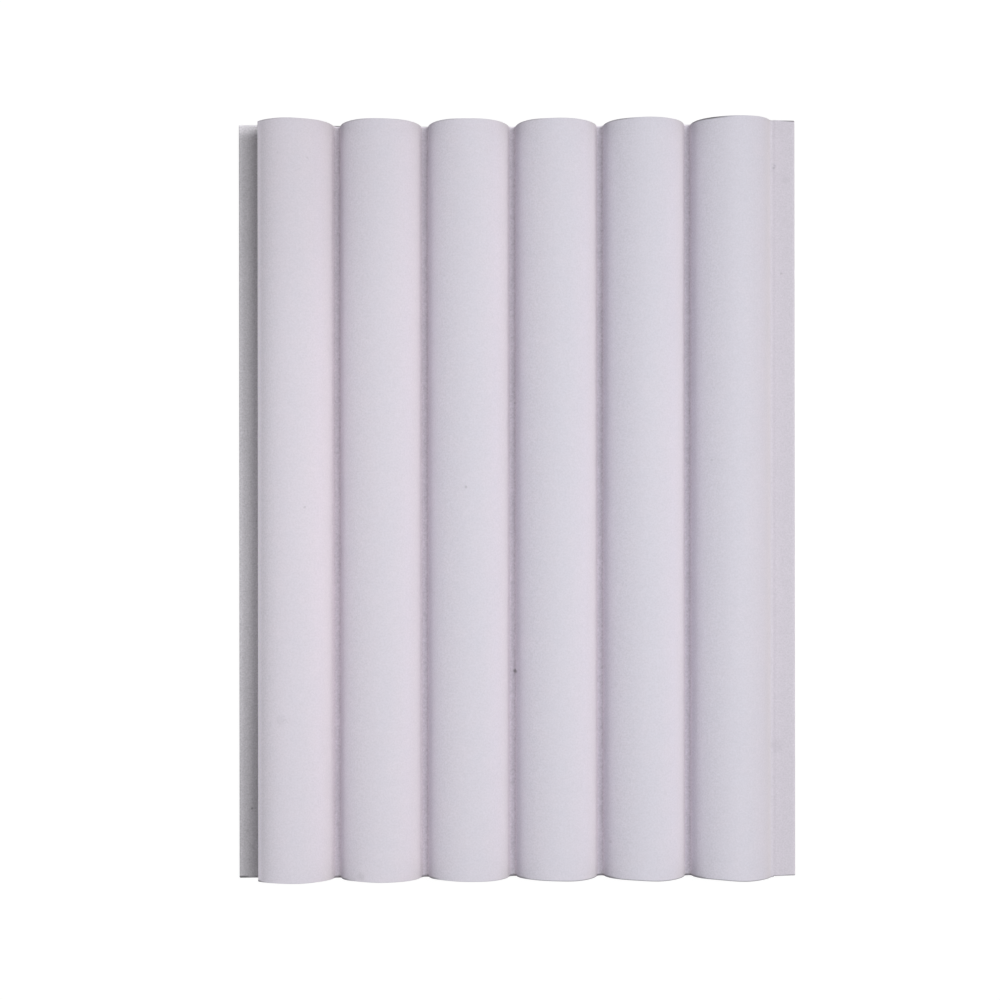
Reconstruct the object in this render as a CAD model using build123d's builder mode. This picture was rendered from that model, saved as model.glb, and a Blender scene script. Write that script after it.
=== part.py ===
from build123d import *
from math import sqrt
import os

os.makedirs("parts", exist_ok=True)

# Fluted wall panel, one moulded length lying on its flat back.
# X runs across the reeds, Y along them and Z out of the wall. All sizes are in millimetres.
# The origin is the middle of the back face.

# Length, reeds and grooves
panel_length = 200.0
reed_count = 6
reed_pitch = 23.3
reed_height = 10.0  # from the bottom of a groove to the crown
groove_width = 1.6  # between the feet of two reeds
groove_round = 0.7  # where a reed meets the bottom of a groove
web_thickness = 2.0  # solid left under a groove

# Edge joint: the tongue of one panel goes into the slot of the next one,
# and the lip of the next one goes under the tongue.
reed_trim = 2.0  # how much the flat wall takes off the first reed
tongue_grip = 2.2  # how far the tongue goes into the slot
lip_grip = 2.2  # how far the lip goes under the last reed of the panel before
lip_thickness = 2.2
tongue_thickness = 2.2
tongue_round = 1.0  # where the last reed meets the tongue
joint_clearance = 0.2
edge_round = 0.4
same_place = 0.001  # corners nearer than this to a place are at it

# A reed is an arc through its two feet and its crown
reed_half = (reed_pitch - groove_width) / 2
reed_radius = (reed_half**2 + reed_height**2) / (2 * reed_height)
crown = web_thickness + reed_height
arc_centre = crown - reed_radius

# Across the joint the reeds keep their pitch, with this gap between last reed and flat wall
joint_gap = groove_width + reed_trim
lip_width = joint_gap + lip_grip
tongue_width = joint_gap + tongue_grip

# Places across the panel
overall_width = reed_count * reed_pitch - joint_gap + lip_width + tongue_width
lip_edge = -overall_width / 2
wall = lip_edge + lip_width
slot_bottom = wall + tongue_grip + joint_clearance
first_reed = wall - reed_trim + reed_half
last_reed = first_reed + (reed_count - 1) * reed_pitch
tongue_tip = overall_width / 2
rebate_wall = last_reed + reed_half - lip_grip - joint_clearance

# Heights above the back face, and where the last reed comes down on the tongue
tongue_underside = lip_thickness + joint_clearance
tongue_top = tongue_underside + tongue_thickness
slot_top = tongue_top + joint_clearance
wall_top = arc_centre + sqrt(reed_radius**2 - (first_reed - wall) ** 2)
last_foot = last_reed + sqrt(reed_radius**2 - (tongue_top - arc_centre) ** 2)

with BuildPart() as fluted_panel:
    with BuildSketch(Plane.XZ) as section:
        with BuildLine():
            # Left edge: the lip, the slot above it and the flat wall of the first reed
            Polyline(
                (rebate_wall, 0),
                (lip_edge, 0),
                (lip_edge, lip_thickness),
                (slot_bottom, lip_thickness),
                (slot_bottom, slot_top),
                (wall, slot_top),
                (wall, wall_top),
            )
            # Front: an arc over each reed, and a flat groove bottom before the next one
            left_foot = (wall, wall_top)
            for reed in range(reed_count - 1):
                centre = first_reed + reed * reed_pitch
                right_foot = (centre + reed_half, web_thickness)
                next_foot = (centre + reed_half + groove_width, web_thickness)
                ThreePointArc(left_foot, (centre, crown), right_foot)
                Line(right_foot, next_foot)
                left_foot = next_foot
            ThreePointArc(left_foot, (last_reed, crown), (last_foot, tongue_top))
            # Right edge: the tongue, and the rebate behind it for the next panel's lip
            Polyline(
                (last_foot, tongue_top),
                (tongue_tip, tongue_top),
                (tongue_tip, tongue_underside),
                (rebate_wall, tongue_underside),
                (rebate_wall, 0),
            )
        make_face()
        # The long outer corners of the wall, the lip and the tongue are eased
        corners = section.vertices()
        eased = corners.group_by(Axis.X)[0] + corners.group_by(Axis.X)[-1]
        eased += corners.filter_by(lambda corner: abs(corner.X - wall) < same_place)
        fillet(eased, radius=min(edge_round, 0.45 * tongue_thickness, 0.45 * lip_thickness))
        # Rounds where the reeds meet the grooves and the tongue
        feet = section.vertices().filter_by(lambda corner: abs(corner.Y - web_thickness) < same_place)
        fillet(feet, radius=min(groove_round, 0.45 * groove_width))
        on_tongue = section.vertices().filter_by(lambda corner: abs(corner.X - last_foot) < same_place)
        fillet(on_tongue, radius=min(tongue_round, 0.45 * joint_gap))
    extrude(amount=panel_length / 2, both=True)

fluted_panel.part.label = "fluted_panel"
export_step(fluted_panel.part, "parts/fluted_panel.step")
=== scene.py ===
from math import asin, atan2, cos, degrees, radians, sqrt

import bpy
import numpy as np
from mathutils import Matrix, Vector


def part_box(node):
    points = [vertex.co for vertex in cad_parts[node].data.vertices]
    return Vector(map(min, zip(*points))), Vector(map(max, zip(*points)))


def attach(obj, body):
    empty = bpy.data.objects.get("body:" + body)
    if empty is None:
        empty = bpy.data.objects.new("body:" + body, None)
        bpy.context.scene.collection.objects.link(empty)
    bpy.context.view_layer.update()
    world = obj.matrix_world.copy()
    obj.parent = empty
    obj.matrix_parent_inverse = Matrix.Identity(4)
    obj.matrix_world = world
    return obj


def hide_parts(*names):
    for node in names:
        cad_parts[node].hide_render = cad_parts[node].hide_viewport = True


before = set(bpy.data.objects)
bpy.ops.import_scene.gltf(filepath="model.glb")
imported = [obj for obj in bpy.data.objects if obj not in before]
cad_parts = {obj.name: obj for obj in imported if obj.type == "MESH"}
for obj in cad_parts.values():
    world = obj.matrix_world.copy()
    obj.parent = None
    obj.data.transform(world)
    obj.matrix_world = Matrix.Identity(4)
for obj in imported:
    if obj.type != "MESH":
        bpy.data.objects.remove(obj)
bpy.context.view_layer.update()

# The panel lies on its flat back. X runs across the reeds, Y along them, Z out of the wall.
# Everything is in metres, and sizes are written in millimetres times MM.
MM = 0.001
NODE = "fluted_panel"
low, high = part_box(NODE)

# Section of the panel, as the solid has it
REEDS = 6
REED_PITCH = 23.3 * MM
REED_HEIGHT = 10.0 * MM
GROOVE_WIDTH = 1.6 * MM
GROOVE_ROUND = 0.7 * MM
WEB_THICKNESS = 2.0 * MM
REED_TRIM = 2.0 * MM
TONGUE_GRIP = 2.2 * MM
LIP_GRIP = 2.2 * MM
LIP_THICKNESS = 2.2 * MM
TONGUE_THICKNESS = 2.2 * MM
TONGUE_ROUND = 1.0 * MM
JOINT_CLEARANCE = 0.2 * MM
EDGE_ROUND = 0.4 * MM
REED_HALF = (REED_PITCH - GROOVE_WIDTH) / 2
REED_RADIUS = (REED_HALF**2 + REED_HEIGHT**2) / (2 * REED_HEIGHT)
ARC_CENTRE = WEB_THICKNESS + REED_HEIGHT - REED_RADIUS
WALL = low.x + GROOVE_WIDTH + REED_TRIM + LIP_GRIP
FIRST_REED = WALL - REED_TRIM + REED_HALF
LAST_REED = FIRST_REED + (REEDS - 1) * REED_PITCH
SLOT_BOTTOM = WALL + TONGUE_GRIP + JOINT_CLEARANCE
REBATE_WALL = LAST_REED + REED_HALF - LIP_GRIP - JOINT_CLEARANCE
TONGUE_UNDERSIDE = LIP_THICKNESS + JOINT_CLEARANCE
TONGUE_TOP = TONGUE_UNDERSIDE + TONGUE_THICKNESS
SLOT_TOP = TONGUE_TOP + JOINT_CLEARANCE

# The two sawn ends, and what the saw left at each: saw_cut says what every value does
HALF_LENGTH = (high.y - low.y) / 2
END_EASE = 0.22 * MM
TOP_CUT = {
    "reach": -0.18 * MM,
    "skew": 0.0044,
    "bow": 0.12,
    "swing": 0.22 * MM,
    "lean": 0.4,
    "lip_spring": 0.20 * MM,
    "tongue_spring": 0.08 * MM,
    "phase": 0.4,
}
BOTTOM_CUT = {
    "reach": -0.15 * MM,
    "skew": -0.0048,
    "bow": 0.065,
    "swing": 0.28 * MM,
    "lean": 1.9,
    "lip_spring": -0.30 * MM,
    "tongue_spring": -0.22 * MM,
    "phase": 2.1,
}

# How finely the surface is divided
REED_FACETS = 40  # over half a turn of a reed's arc
EVEN_ROWS = 81  # along the whole length
DENT_ROWS = 11  # over one dent
DENT_MARGIN = 1.2  # the dent's own reach times this has the closer rows
EASE_ROWS = 5  # over the eased edge of a sawn end
SHARPEST_SMOOTH = 32  # degrees: a larger angle between two facets shows as an edge
FRONT_FACES_UP = 0.05  # a facet whose normal rises more than this is part of the front

# Dents in the front, each with its place, its reach across and along, and its depth, in millimetres
DENTS = [
    (-0.35, -45.2, 0.55, 0.75, 0.45),
    (68.35, 88.2, 0.45, 0.50, 0.25),
    (-70.45, -81.7, 0.40, 0.50, 0.25),
    (-70.6, -79.1, 0.30, 0.35, 0.12),
    (-0.35, 26.2, 0.40, 0.50, 0.25),
    (-69.4, -38.0, 0.40, 0.45, 0.20),
    (45.25, -18.8, 0.40, 0.50, 0.22),
    (45.25, 3.0, 0.40, 0.45, 0.20),
    (70.2, 60.2, 0.35, 0.40, 0.15),
]

# Specks in the primer, each with its place, its radius in millimetres and its share of darkness; the last
# is a broad painted shade over the lip's far corner
SPECKS = [
    (-0.35, -45.2, 0.75, 0.45),
    (68.35, 88.2, 0.55, 0.20),
    (-70.45, -81.7, 0.55, 0.25),
    (-71.7, -87.6, 0.45, 0.15),
    (-71.2, -95.3, 0.50, 0.15),
    (-0.35, 26.2, 0.50, 0.15),
    (-13.0, 3.3, 0.55, 0.20),
    (-55.2, -1.9, 0.50, 0.15),
    (51.4, 10.4, 0.50, 0.12),
    (-54.5, 89.6, 0.45, 0.10),
    (-62.3, 90.8, 0.45, 0.08),
    (24.8, -90.0, 0.60, 0.12),
    (70.2, 60.2, 0.45, 0.14),
    (45.25, 3.0, 0.45, 0.10),
    (-40.6, -98.6, 1.60, 0.08),
    (-61.6, -57.6, 2.20, 0.04),
    (68.9, -64.9, 2.40, 0.06),
    (71.6, 85.1, 1.80, 0.05),
    (-70.5, -79.2, 0.45, 0.12),
    # not a speck: a broad painted shade over the corner of the lip and the far end
    (-70.0, 95.0, 60.0, 0.05),
]

# Faint strokes in the primer: middle, length in millimetres, angle in degrees and share of darkness
STROKES = [
    (-71.0, -91.3, 3.8, -57, 0.09),
    (-70.3, -91.9, 3.0, -52, 0.07),
    (-57.0, 86.3, 2.1, 33, 0.05),
    (-60.5, -57.6, 1.3, 35, 0.05),
    (-59.8, -58.0, 1.6, -55, 0.05),
    (67.4, -65.9, 1.9, -45, -0.05),
]

# Where the tongue, the wall, the lip and the sawn ends are, in millimetres, for the finish
TONGUE_FOOT_MM = (LAST_REED + REED_HALF) / MM
WALL_MM = WALL / MM
LIP_EDGE_MM = low.x / MM
HALF_LENGTH_MM = HALF_LENGTH / MM

# Colours of the primer, from the reeds' crowns to the lip, and of the bare polymer
LILAC = (0.816, 0.793, 0.884, 1)
PINK_LILAC = (0.862, 0.795, 0.870, 1)
WARM_FLANK = (0.845, 0.790, 0.800, 1)
GROOVE_PINK = (0.850, 0.790, 0.840, 1)
TONGUE_LILAC = (0.822, 0.773, 0.850, 1)
LIP_GREY = (0.805, 0.785, 0.825, 1)
BARE_DARK = (0.76, 0.755, 0.775, 1)
BARE_LIGHT = (0.91, 0.90, 0.915, 1)
SWEEP_GREY = (0.1, 0.1, 0.1, 1)
WHITE = (1, 1, 1, 1)

# The frame is PICTURE pixels square, and one pixel is this long at the groove bottoms
PICTURE = 1000
PIXEL = 0.26655 * MM
PANEL_PIXEL = (516.5, 501.4)  # where the panel's middle falls
LENS_PIXEL = (548.0, 595.0)  # the point that the lens looks at square on
CAMERA_HEIGHT = 499.8 * MM
CAMERA_ROLL = -0.06  # degrees
SENSOR = 36.0  # millimetres

# Light: each soft box has a direction, the angle from its middle to its rim, and a strength
ROOM_LIGHT = 0.241
KEY_BOX = ((0.69, 0.30, 1.0), 28.4, 4.83)
FILL_BOX = ((-2.605, 0.0, 1.0), 20.0, 3.86)
LOW_BOX = ((0.0, -1.0, 0.17), 20.0, 3.6)  # low in front, for the near sawn end

# The floor
FLOOR_REACH = 20.0  # metres from the middle to each side
FLOOR_GLOW = 0.95


def straight(start, end, pieces):
    """Points from start up to but not with end: start plus even shares of the way to end."""
    share = np.arange(pieces)[:, None] / pieces
    return np.array(start) + share * (np.array(end) - np.array(start))


def arc(centre, radius, angle_from, angle_to, pieces):
    """Points on a circle, without the last: centre plus radius times the sine and cosine of an angle
    that is counted from the upright, in degrees, and grows evenly to the right."""
    angle = np.radians(angle_from + (angle_to - angle_from) * np.arange(pieces) / pieces)
    return np.array(centre) + radius * np.stack([np.sin(angle), np.cos(angle)], 1)


def foot_round(radius, level):
    """How far from a reed's middle a round stands that touches the reed and a flat below it, how high
    its centre is, and the angle on the reed where it starts. Its centre is the reed's radius and its
    own away from the reed's centre, and its own radius above the flat."""
    height = level + radius
    reach = sqrt((REED_RADIUS + radius) ** 2 - (height - ARC_CENTRE) ** 2)
    return reach, height, degrees(atan2(reach, height - ARC_CENTRE))


def groove(middle):
    """A groove from one reed to the next: a round, a flat bottom and a round the other way."""
    reach, height, angle = foot_round(GROOVE_ROUND, WEB_THICKNESS)
    left = middle - REED_PITCH / 2 + reach
    right = middle + REED_PITCH / 2 - reach
    return [
        arc((left, height), GROOVE_ROUND, angle - 180, -180, 6),
        straight((left, WEB_THICKNESS), (right, WEB_THICKNESS), 6),
        arc((right, height), GROOVE_ROUND, 180, 180 - angle, 6),
    ]


def section_outline():
    """The section as one closed line in X and Z, clockwise from the foot of the rebate: straight runs
    along the back, the lip, the slot, the wall and the tongue, and arcs over the reeds. The last number
    of each run is its count of facets."""
    r = EDGE_ROUND
    wall_angle = degrees(asin((WALL + r - FIRST_REED) / (REED_RADIUS - r)))
    wall_round = (WALL + r, ARC_CENTRE + (REED_RADIUS - r) * cos(radians(wall_angle)))
    groove_angle = foot_round(GROOVE_ROUND, WEB_THICKNESS)[2]
    reach, height, tongue_angle = foot_round(TONGUE_ROUND, TONGUE_TOP)
    foot = LAST_REED + reach
    runs = [
        straight((REBATE_WALL, 0), (low.x + r, 0), 50),
        arc((low.x + r, r), r, 180, 270, 5),
        straight((low.x, r), (low.x, LIP_THICKNESS - r), 4),
        arc((low.x + r, LIP_THICKNESS - r), r, 270, 360, 5),
        straight((low.x + r, LIP_THICKNESS), (WALL, LIP_THICKNESS), 34),
        straight((WALL, LIP_THICKNESS), (SLOT_BOTTOM, LIP_THICKNESS), 4),
        straight((SLOT_BOTTOM, LIP_THICKNESS), (SLOT_BOTTOM, SLOT_TOP), 4),
        straight((SLOT_BOTTOM, SLOT_TOP), (WALL + r, SLOT_TOP), 3),
        arc((WALL + r, SLOT_TOP + r), r, 180, 270, 5),
        straight((WALL, SLOT_TOP + r), (WALL, wall_round[1]), 5),
        arc(wall_round, r, -90, wall_angle, 5),
    ]
    for reed in range(REEDS):
        centre = FIRST_REED + reed * REED_PITCH
        start = wall_angle if reed == 0 else -groove_angle
        end = tongue_angle if reed == REEDS - 1 else groove_angle
        pieces = round(REED_FACETS * (end - start) / 180)
        runs.append(arc((centre, ARC_CENTRE), REED_RADIUS, start, end, pieces))
        if reed < REEDS - 1:
            runs += groove(centre + REED_PITCH / 2)
    runs += [
        arc((foot, height), TONGUE_ROUND, tongue_angle - 180, -180, 8),
        straight((foot, TONGUE_TOP), (high.x - r, TONGUE_TOP), 26),
        arc((high.x - r, TONGUE_TOP - r), r, 0, 90, 5),
        straight((high.x, TONGUE_TOP - r), (high.x, TONGUE_UNDERSIDE + r), 3),
        arc((high.x - r, TONGUE_UNDERSIDE + r), r, 90, 180, 5),
        straight((high.x - r, TONGUE_UNDERSIDE), (REBATE_WALL, TONGUE_UNDERSIDE), 6),
        straight((REBATE_WALL, TONGUE_UNDERSIDE), (REBATE_WALL, 0), 4),
    ]
    return np.concatenate(runs)


def outward(line):
    """Unit normals of a closed clockwise line: the chord between both neighbours, turned a quarter left."""
    chord = np.roll(line, -1, 0) - np.roll(line, 1, 0)
    normal = np.stack([-chord[:, 1], chord[:, 0]], 1)
    return normal / np.linalg.norm(normal, axis=1)[:, None]


def stations():
    """Places along the reeds: even rows, closer rows at the dents, and quarter turns at the ends."""
    inner = HALF_LENGTH - END_EASE
    rows = [np.linspace(-inner, inner, EVEN_ROWS)]
    for _, y, _, along, _ in DENTS:
        reach = DENT_MARGIN * along
        rows.append(np.linspace((y - reach) * MM, (y + reach) * MM, DENT_ROWS))
    turn = np.linspace(0, np.pi / 2, EASE_ROWS)
    rounded = inner + END_EASE * np.sin(turn)
    return np.unique(np.concatenate([-rounded, *rows, rounded]).round(6))


def dented(x, y):
    """How far the front is pressed in at x and y: for each dent its depth times the square of
    1 less the squared distance, which is counted in the dent's own reach."""
    depth = np.zeros_like(x)
    for place_x, place_y, across, along, deep in DENTS:
        distance = ((x / MM - place_x) / across) ** 2 + ((y / MM - place_y) / along) ** 2
        depth += deep * MM * np.maximum(1 - distance, 0) ** 2
    return depth


def saw_cut(x, reach, skew, bow, swing, lean, lip_spring, tongue_spring, phase):
    """How far a sawn end stands out at x: its reach at the middle, a straight slant, a bow, a cosine over
    each reed that grows from nothing at the lip to its full swing at the tongue and is shifted by lean,
    what the thin lip and tongue sprang back or out, and a longer and a shorter wave of the hand."""
    turn = 2 * np.pi * (x - FIRST_REED) / REED_PITCH + np.pi + lean
    share = (x - low.x) / (high.x - low.x)
    springs = np.where(x < WALL, lip_spring, 0) + np.where(x > LAST_REED + REED_HALF, tongue_spring, 0)
    long_wave = 0.05 * MM * np.sin(x / (4.1 * MM) + phase)
    short_wave = 0.03 * MM * np.sin(x / (1.7 * MM) - phase)
    cut = reach + skew * x + bow * x**2 + swing * share * np.cos(turn)
    return cut + springs + long_wave + short_wave


def save_on_points(mesh, name, values):
    """Stores one number for each point, for the finish to read."""
    mesh.attributes.new(name, "FLOAT", "POINT").data.foreach_set("value", values.ravel())


def panel_mesh():
    """The panel as a grid of two parameters, s round the section and t along the reeds. A point is the
    section's point at s, drawn in along its normal by an eased edge near the two ends, pressed in where
    the front is dented, and set at t plus what the saw left at that end, times the cube of the share of
    the way to it. Each end is one face.
    Two numbers are stored on each point: the slope, which is the part of the section's normal that
    points right, and the run, which is t in millimetres before the saw moved it."""
    outline = section_outline()
    normal = outward(outline)
    along = stations()
    past = np.maximum(abs(along) - HALF_LENGTH + END_EASE, 0)
    drawn_in = END_EASE - np.sqrt(np.maximum(END_EASE**2 - past**2, 0))
    across = outline[:, None] - normal[:, None] * drawn_in[None, :, None]
    x = across[..., 0]
    front = (normal[:, 1] > FRONT_FACES_UP)[:, None]
    z = across[..., 1] - front * dented(x, along[None, :])
    share = along[None, :] / HALF_LENGTH
    cut = np.where(share > 0, saw_cut(x, **TOP_CUT), -saw_cut(x, **BOTTOM_CUT))
    y = along[None, :] + cut * abs(share) ** 3
    points = np.stack([x, y, z], -1)
    index = np.arange(x.size).reshape(x.shape)
    following = np.roll(index, -1, 0)
    quads = np.stack([index[:, :-1], following[:, :-1], following[:, 1:], index[:, 1:]], -1)
    faces = quads.reshape(-1, 4).tolist() + [index[:, -1].tolist(), index[::-1, 0].tolist()]
    mesh = bpy.data.meshes.new(NODE + "_surface")
    mesh.from_pydata(points.reshape(-1, 3), [], faces)
    save_on_points(mesh, "slope", np.broadcast_to(normal[:, :1], x.shape))
    save_on_points(mesh, "run", np.broadcast_to(along / MM, x.shape))
    mesh.shade_smooth()
    mesh.set_sharp_from_angle(angle=radians(SHARPEST_SMOOTH))
    return mesh


def new_piece(name, mesh):
    """An object at the origin that shows a mesh."""
    piece = bpy.data.objects.new(name, mesh)
    bpy.context.scene.collection.objects.link(piece)
    return piece


class Wire:
    """One shader socket. Sums, products and differences of wires and numbers add Math nodes."""

    def __init__(self, finish, socket):
        self.finish = finish
        self.socket = socket

    def maths(self, operation, *values):
        return self.finish.node("ShaderNodeMath", {"operation": operation}, dict(enumerate(values)))

    def __add__(self, other):
        return self.maths("ADD", self, other)

    __radd__ = __add__

    def __sub__(self, other):
        return self.maths("SUBTRACT", self, other)

    def __rsub__(self, other):
        return self.maths("SUBTRACT", other, self)

    def __mul__(self, other):
        return self.maths("MULTIPLY", self, other)

    __rmul__ = __mul__

    def __abs__(self):
        return self.maths("ABSOLUTE", self)


class Finish:
    """The nodes of a material or of the room."""

    def __init__(self, owner, shader):
        owner.use_nodes = True
        self.tree = owner.node_tree
        self.shader = self.tree.nodes[shader]

    def node(self, kind, settings=None, inputs=None, output=0):
        """Adds a node of a kind, sets its settings, then its sockets to numbers or wires."""
        made = self.tree.nodes.new(kind)
        for name, value in (settings or {}).items():
            setattr(made, name, value)
        for name, value in (inputs or {}).items():
            if isinstance(value, Wire):
                self.tree.links.new(value.socket, made.inputs[name])
            else:
                made.inputs[name].default_value = value
        return Wire(self, made.outputs[output])

    def constant(self, socket, value):
        self.shader.inputs[socket].default_value = value

    def feed(self, socket, wire):
        self.tree.links.new(wire.socket, self.shader.inputs[socket])

    def part(self, vector, index):
        """One part of a vector: 0 for X, 1 for Y and 2 for Z."""
        return self.node("ShaderNodeSeparateXYZ", {}, {0: vector}, output=index)

    def stored(self, name):
        """The number that save_on_points stored under a name."""
        return self.node("ShaderNodeAttribute", {"attribute_name": name}, output="Fac")

    def noise(self, place, scale, detail):
        """A cloudy pattern around a half, with so many waves in each unit of place."""
        inputs = {"Vector": place, "Scale": scale, "Detail": detail}
        return self.node("ShaderNodeTexNoise", {}, inputs)

    def stretched(self, metres, across, along, up):
        """Coordinates in millimetres, each times its own factor."""
        scale = (across / MM, along / MM, up / MM)
        return self.node("ShaderNodeMapping", {}, {"Vector": metres, "Scale": scale})

    def step(self, wire, start, end):
        """0 below start, 1 above end and a smooth ramp between them."""
        inputs = {"Value": wire, "From Min": start, "From Max": end}
        return self.node("ShaderNodeMapRange", {"interpolation_type": "SMOOTHSTEP"}, inputs)

    def band(self, wire, start, full, falling, end):
        """0 outside start and end, 1 between full and falling, and smooth ramps on both sides."""
        return self.step(wire, start, full) * (1 - self.step(wire, falling, end))

    def darkened(self, share):
        """1 less a share of darkness, which never takes more than nine tenths."""
        return 1 - share.maths("MINIMUM", share, 0.9)

    def mix(self, share, first, second):
        """Colour between first and second by share, on the sockets that a Mix node has for colours."""
        return self.node("ShaderNodeMix", {"data_type": "RGBA"}, {0: share, 6: first, 7: second}, output=2)

    def dim(self, colour, amount):
        """Colour times a number."""
        return self.node("ShaderNodeVectorMath", {"operation": "SCALE"}, {0: colour, "Scale": amount})

    def towards(self, direction, way):
        """Cosine of the angle between a wire's direction and a fixed way."""
        unit = np.array(way) / np.linalg.norm(way)
        inputs = {0: direction, 1: tuple(unit)}
        return self.node("ShaderNodeVectorMath", {"operation": "DOT_PRODUCT"}, inputs, output="Value")


class PanelZones:
    """What the finish reads at a point of the panel: its place in millimetres, the slope and run stored
    on it, five patterns, and for each zone a share from 0 outside it to 1 inside."""

    def __init__(self, primer):
        metres = primer.node("ShaderNodeTexCoord", output="Object")
        facing = primer.node("ShaderNodeTexCoord", output="Normal")
        place = primer.stretched(metres, 1, 1, 1)
        self.flat = primer.stretched(metres, 1, 1, 0)
        self.x = primer.part(place, 0)
        self.y = primer.part(place, 1)
        self.z = primer.part(place, 2)
        self.slope = primer.stored("slope")
        self.run = primer.stored("run")

        self.cloud = primer.noise(primer.stretched(metres, 1, 0.3, 1), 0.05, 3.0)
        self.grain = primer.noise(place, 2.2, 3.0)
        self.stipple = primer.noise(place, 0.8, 2.0)
        self.patch = primer.noise(place, 0.25, 3.0)
        self.lines = primer.noise(primer.stretched(metres, 0.4, 0.004, 2.5), 1.3, 3.0)

        self.sawn = primer.step(abs(primer.part(facing, 1)), 0.8, 0.95)
        self.back = primer.step(-1 * primer.part(facing, 2), 0.7, 0.9)
        # The lip is as low as the grooves, so it counts as hollow and deep too
        self.hollow = 1 - primer.step(self.z, 2.2, 6.0)
        self.deep = 1 - primer.step(self.z, 2.2, 4.5)
        self.lip = 1 - primer.step(self.x, WALL_MM - 0.1, WALL_MM + 0.1)
        self.left_flank = primer.step(-1 * self.slope, 0.1, 0.6)
        self.steep_left = primer.step(-1 * self.slope, 0.6, 0.85) * (1 - self.deep)


def primer_colour(primer, at):
    """Lilac, mixed with pink to the left, on flanks that face right and by the clouds and patches, and
    then with a colour of their own on steep right flanks, in the grooves, on the tongue and on the lip."""
    pink = primer.step(at.slope, 0.1, 0.9) * 0.55 + (1 - primer.step(at.x, -75.0, 40.0)) * 0.45
    pink = pink + (at.cloud - 0.5) * 0.5 + (at.patch - 0.5) * 0.5
    colour = primer.mix(pink, LILAC, PINK_LILAC)
    colour = primer.mix(primer.step(at.slope, 0.65, 0.95) * 0.5, colour, WARM_FLANK)
    colour = primer.mix(at.deep * (0.3 + at.left_flank * 0.2), colour, GROOVE_PINK)
    tongue = primer.step(at.x, TONGUE_FOOT_MM - 1.1, TONGUE_FOOT_MM - 0.2)
    colour = primer.mix(tongue * 0.8, colour, TONGUE_LILAC)
    return primer.mix(at.lip * 0.8, colour, LIP_GREY)


def mottling_and_end_falloff(primer, at):
    """1 plus clouds, blotches and speckle, which are stronger in the grooves and at the lip's foot, all
    times 1 less a small part of the square of y, which is painted light that falls off towards both ends."""
    lip_foot = at.lip * primer.step(at.x, WALL_MM - 2.5, WALL_MM - 0.5)
    coarseness = 0.18 + at.hollow * 0.34 + at.left_flank * 0.14 + at.lip * 0.06 + lip_foot * 0.3
    stippling = (at.stipple - 0.5) * (0.03 + at.hollow * 0.10)
    patches = (at.patch - 0.5) * (0.02 + at.hollow * 0.05)
    tone = 1 + (at.cloud - 0.5) * 0.04 + stippling + patches + (at.grain - 0.5) * coarseness
    # painted shade: darker towards both ends, as the light falls off there
    return tone * (1 - at.y * at.y * 0.000004)


def groove_light_and_shade(primer, at):
    """Painted light and shade in the grooves: they are a little lighter towards the near end, and less so
    on their right side.
    Their right round is lighter, the flank above it and the left round of the first grooves are darker, and
    steep left flanks above the grooves are lighter."""
    # painted light and painted shade, fitted to the shading of grooves and steep left flanks
    lighter = 0.01 + 0.075 * primer.step(-1 * at.y, -40.0, 60.0) - 0.05 * at.left_flank
    right_round = at.left_flank * primer.band(at.z, 2.05, 2.2, 2.6, 3.4)
    above_round = at.left_flank * primer.band(at.z, 3.2, 4.2, 5.6, 7.0)
    left_round = (1 - at.left_flank) * primer.band(at.z, 2.02, 2.08, 2.4, 2.8)
    left_round = left_round * (1 - at.lip) * (1 - primer.step(at.x, -45.0, 30.0))
    rounds = 1 + right_round * 0.03 - above_round * 0.045 - left_round * 0.045
    return (1 + at.deep * lighter + at.steep_left * 0.04) * rounds


def edge_light_and_shade(primer, at):
    """The lip carries a painted shadow of the wall, deepest at the near end and gone at its far end, where
    painted light makes it a little lighter.
    Its outer edge is lighter with painted light, the wall's top edge has a painted highlight, and the
    tongue's foot is darker with painted shade."""
    # painted shadow of the wall on the lip, lifted by painted light at the lip's far end
    wall_shadow = 0.28 + primer.step(at.y, -10.0, 100.0) * 0.045 + primer.step(-1 * at.y, 20.0, 100.0) * 0.12
    lit_far_end = primer.step(at.run, HALF_LENGTH_MM - 4.0, HALF_LENGTH_MM - 0.6)
    # painted light on the lip's outer edge, painted highlight on the wall's top edge, painted shade at the
    # tongue's foot
    lit_lip_edge = 1 - primer.step(at.x, LIP_EDGE_MM + 0.3, LIP_EDGE_MM + 1.6)
    wall_highlight = (1 - primer.step(at.x, WALL_MM + 0.3, WALL_MM + 1.6)) * (1 - at.lip)
    tongue_foot_shade = 1 - primer.step(abs(at.x - TONGUE_FOOT_MM), 0.3, 1.0)
    edges = 1 + lit_lip_edge * 0.13 + wall_highlight * 0.20 - tongue_foot_shade * 0.06
    return (1 - at.lip * wall_shadow * (1 - lit_far_end * 1.15)) * edges


def marks(primer, at):
    """Each speck darkens by a ramp that ends at its radius. Each stroke darkens along its own line, by
    one ramp of the distance from its middle and one of the distance from the line."""
    tone = 1
    for x, y, radius, dark in SPECKS:
        inputs = {0: at.flat, 1: (x, y, 0)}
        distance = primer.node("ShaderNodeVectorMath", {"operation": "DISTANCE"}, inputs, output="Value")
        tone = tone * (1 - dark * (1 - primer.step(distance, 0.2 * radius, radius)))
    for x, y, length, angle, dark in STROKES:
        inputs = {"Vector": at.flat, "Location": (x, y, 0), "Rotation": (0, 0, radians(angle))}
        laid = primer.node("ShaderNodeMapping", {"vector_type": "TEXTURE"}, inputs)
        within = 1 - primer.step(abs(primer.part(laid, 0)), 0.3 * length, 0.5 * length)
        on_line = 1 - primer.step(abs(primer.part(laid, 1)), 0.05, 0.25)
        tone = tone * (1 - dark * within * on_line)
    return tone


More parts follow.
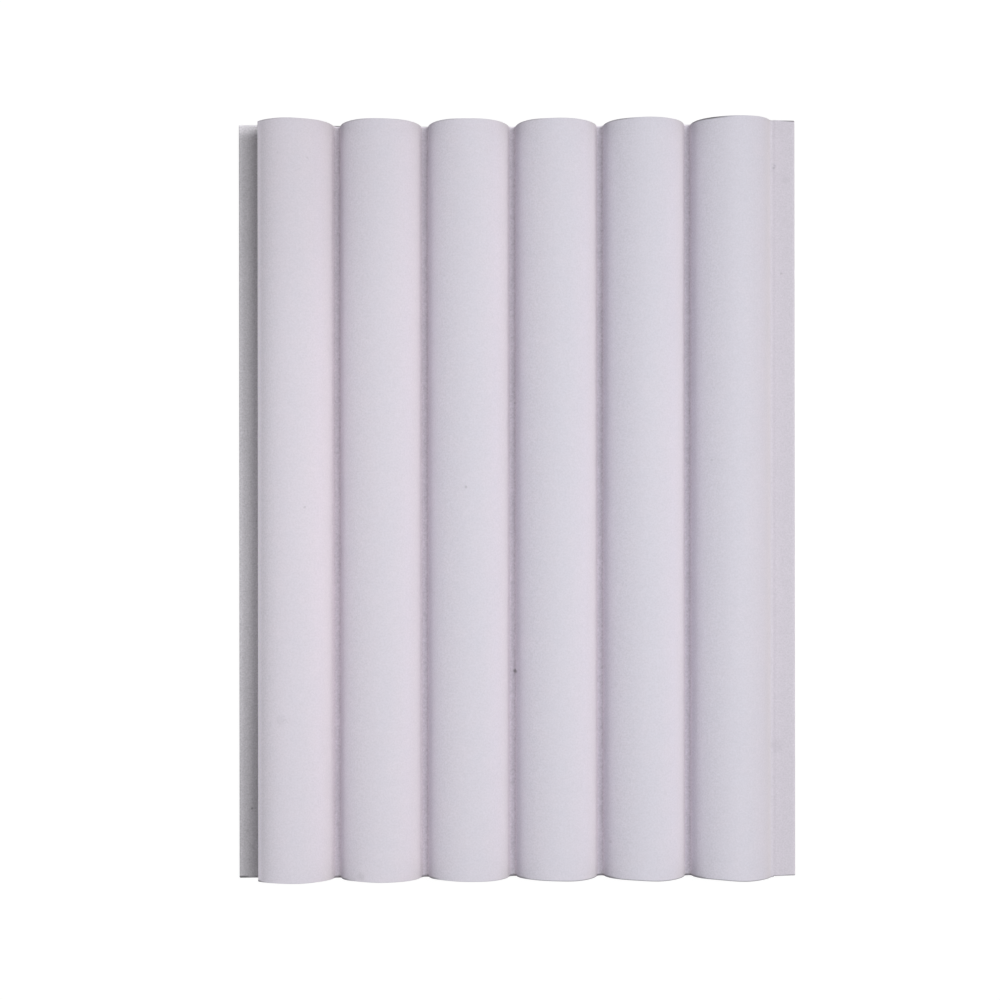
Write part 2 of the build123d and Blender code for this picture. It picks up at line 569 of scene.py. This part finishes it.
def rim_shadow_lines(primer, at):
    """Both sawn rims carry painted shadow, each as a narrow line along its end whose darkness changes
    across the panel: with the grooves, the flanks and the lip, and most over the left half of the last reed
    at the far end. At the far end the grooves get painted light instead."""
    # painted shadow lines along the sawn ends, and painted light at the grooves' far ends
    last_reed_left = primer.band(at.x, 46.0, 52.0, 54.5, 58.0)
    later_reeds = primer.step(at.x, -20.0, 20.0)
    corner = 1 - primer.step(at.x, WALL_MM, WALL_MM + 4.0)
    near_width = 0.35 + (at.deep + at.steep_left) * 0.45
    near_line = 1 - primer.step(HALF_LENGTH_MM + at.run, 0.1, near_width)
    near_shadow = later_reeds * 0.5 + corner * 0.35 + at.steep_left * (0.5 - later_reeds * 0.4)
    in_deep = 0.65 + at.lip * (0.15 - primer.step(at.x, -72.5, -71.0) * 0.55)
    near_shadow = 0.05 + (1 - at.deep) * near_shadow + at.deep * in_deep
    near_shadow = near_shadow + primer.step(at.x, 70.5, 72.5) * 0.15
    far_line = 1 - primer.step(HALF_LENGTH_MM - at.run, 0.1, 0.55 + last_reed_left * 0.1)
    far_shading = at.left_flank * (1 - at.deep) * (0.25 + primer.step(at.x, 0.0, 50.0) * 0.35)
    far_shading = far_shading - at.deep * 0.35 + last_reed_left * 0.35 + primer.step(at.x, 69.5, 73.0) * 0.6
    return primer.darkened(near_line * near_shadow) * primer.darkened(far_line * far_shading)


def primed_finish():
    """Matt lilac primer over bare polymer. The primer's colour is dimmed by the product of all its tones,
    which hold painted light and shade as well as its mottling and marks.
    The sawn ends and the back are bare, with fine saw lines and die lines. The grain and the lines give
    a slight relief."""
    material = bpy.data.materials.new("primed_polymer")
    primer = Finish(material, "Principled BSDF")
    at = PanelZones(primer)
    tone = mottling_and_end_falloff(primer, at) * groove_light_and_shade(primer, at) * edge_light_and_shade(primer, at)
    tone = tone * marks(primer, at) * rim_shadow_lines(primer, at)
    primed = primer.dim(primer_colour(primer, at), tone)
    bare = primer.dim(primer.mix(at.grain, BARE_DARK, BARE_LIGHT), 0.93 + (at.lines - 0.5) * 0.16)
    uncoated = at.sawn.maths("MAXIMUM", at.sawn, at.back)
    relief = at.grain * (0.8 + at.sawn) + at.lines * uncoated * 1.5
    bump = primer.node("ShaderNodeBump", {}, {"Height": relief, "Distance": 0.02 * MM, "Strength": 1.0})
    primer.constant("Specular IOR Level", 0.3)
    primer.feed("Base Color", primer.mix(uncoated, primed, bare))
    primer.feed("Roughness", 0.62 + (at.grain - 0.5) * 0.15 + uncoated * 0.15)
    primer.feed("Normal", bump)
    return material


def floor_finish():
    """White sweep, lit from below as a light table is."""
    material = bpy.data.materials.new("white_sweep")
    sweep = Finish(material, "Principled BSDF")
    sweep.constant("Base Color", SWEEP_GREY)
    sweep.constant("Roughness", 0.9)
    sweep.constant("Specular IOR Level", 0.0)
    sweep.constant("Emission Color", WHITE)
    sweep.constant("Emission Strength", FLOOR_GLOW)
    return material


def add_floor():
    """A flat square under the panel whose glow falls on nothing but itself. It is open under the flat
    back, so that no two faces lie in one plane and the back is seen from below: an outer and an inner
    rectangle, with four quads between them."""
    left = low.x + 1.0 * MM
    right = REBATE_WALL - 0.5 * MM
    along = HALF_LENGTH - 1.2 * MM
    reach = FLOOR_REACH
    outer = [(-reach, -reach, 0), (reach, -reach, 0), (reach, reach, 0), (-reach, reach, 0)]
    inner = [(left, -along, 0), (right, -along, 0), (right, along, 0), (left, along, 0)]
    sides = [(0, 1, 5, 4), (1, 2, 6, 5), (2, 3, 7, 6), (3, 0, 4, 7)]
    mesh = bpy.data.meshes.new("floor")
    mesh.from_pydata(outer + inner, [], sides)
    mesh.materials.append(floor_finish())
    floor = new_piece("floor", mesh)
    lit_by_glow = bpy.data.collections.new("lit_by_glow")
    lit_by_glow.objects.link(floor)
    floor.light_linking.receiver_collection = lit_by_glow


def add_panel():
    """The finely divided panel in place of the plain solid."""
    piece = new_piece("panel_surface", panel_mesh())
    piece.data.materials.append(primed_finish())
    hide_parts(NODE)
    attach(piece, "root")


def add_camera():
    """Looks straight down, with a lens that makes one pixel PIXEL long at the groove bottoms."""
    camera = bpy.data.cameras.new("camera")
    camera.sensor_width = SENSOR
    camera.lens = SENSOR * (CAMERA_HEIGHT - WEB_THICKNESS) / (PICTURE * PIXEL)
    camera.shift_x = (PICTURE / 2 - LENS_PIXEL[0]) / PICTURE
    camera.shift_y = (LENS_PIXEL[1] - PICTURE / 2) / PICTURE
    camera.clip_start = 0.01
    eye = bpy.data.objects.new("camera", camera)
    across = (LENS_PIXEL[0] - PANEL_PIXEL[0]) * PIXEL
    along = (PANEL_PIXEL[1] - LENS_PIXEL[1]) * PIXEL
    eye.location = (across, along, CAMERA_HEIGHT)
    eye.rotation_euler.z = radians(CAMERA_ROLL)
    bpy.context.scene.collection.objects.link(eye)
    bpy.context.scene.camera = eye


def add_light():
    """A pale room with three soft boxes. The light from a direction is the room's, and for each box its
    strength times a smooth ramp of the cosine to the box's middle, from 0 at its rim to 1."""
    world = bpy.data.worlds.new("room")
    room = Finish(world, "Background")
    direction = room.node("ShaderNodeTexCoord", output="Generated")
    light = ROOM_LIGHT
    for way, rim, strength in (KEY_BOX, FILL_BOX, LOW_BOX):
        light = light + strength * room.step(room.towards(direction, way), cos(radians(rim)), 1.0)
    room.feed("Strength", light)
    room.constant("Color", WHITE)
    bpy.context.scene.world = world


bpy.context.scene.view_settings.view_transform = "Standard"
add_floor()
add_panel()
add_camera()
add_light()
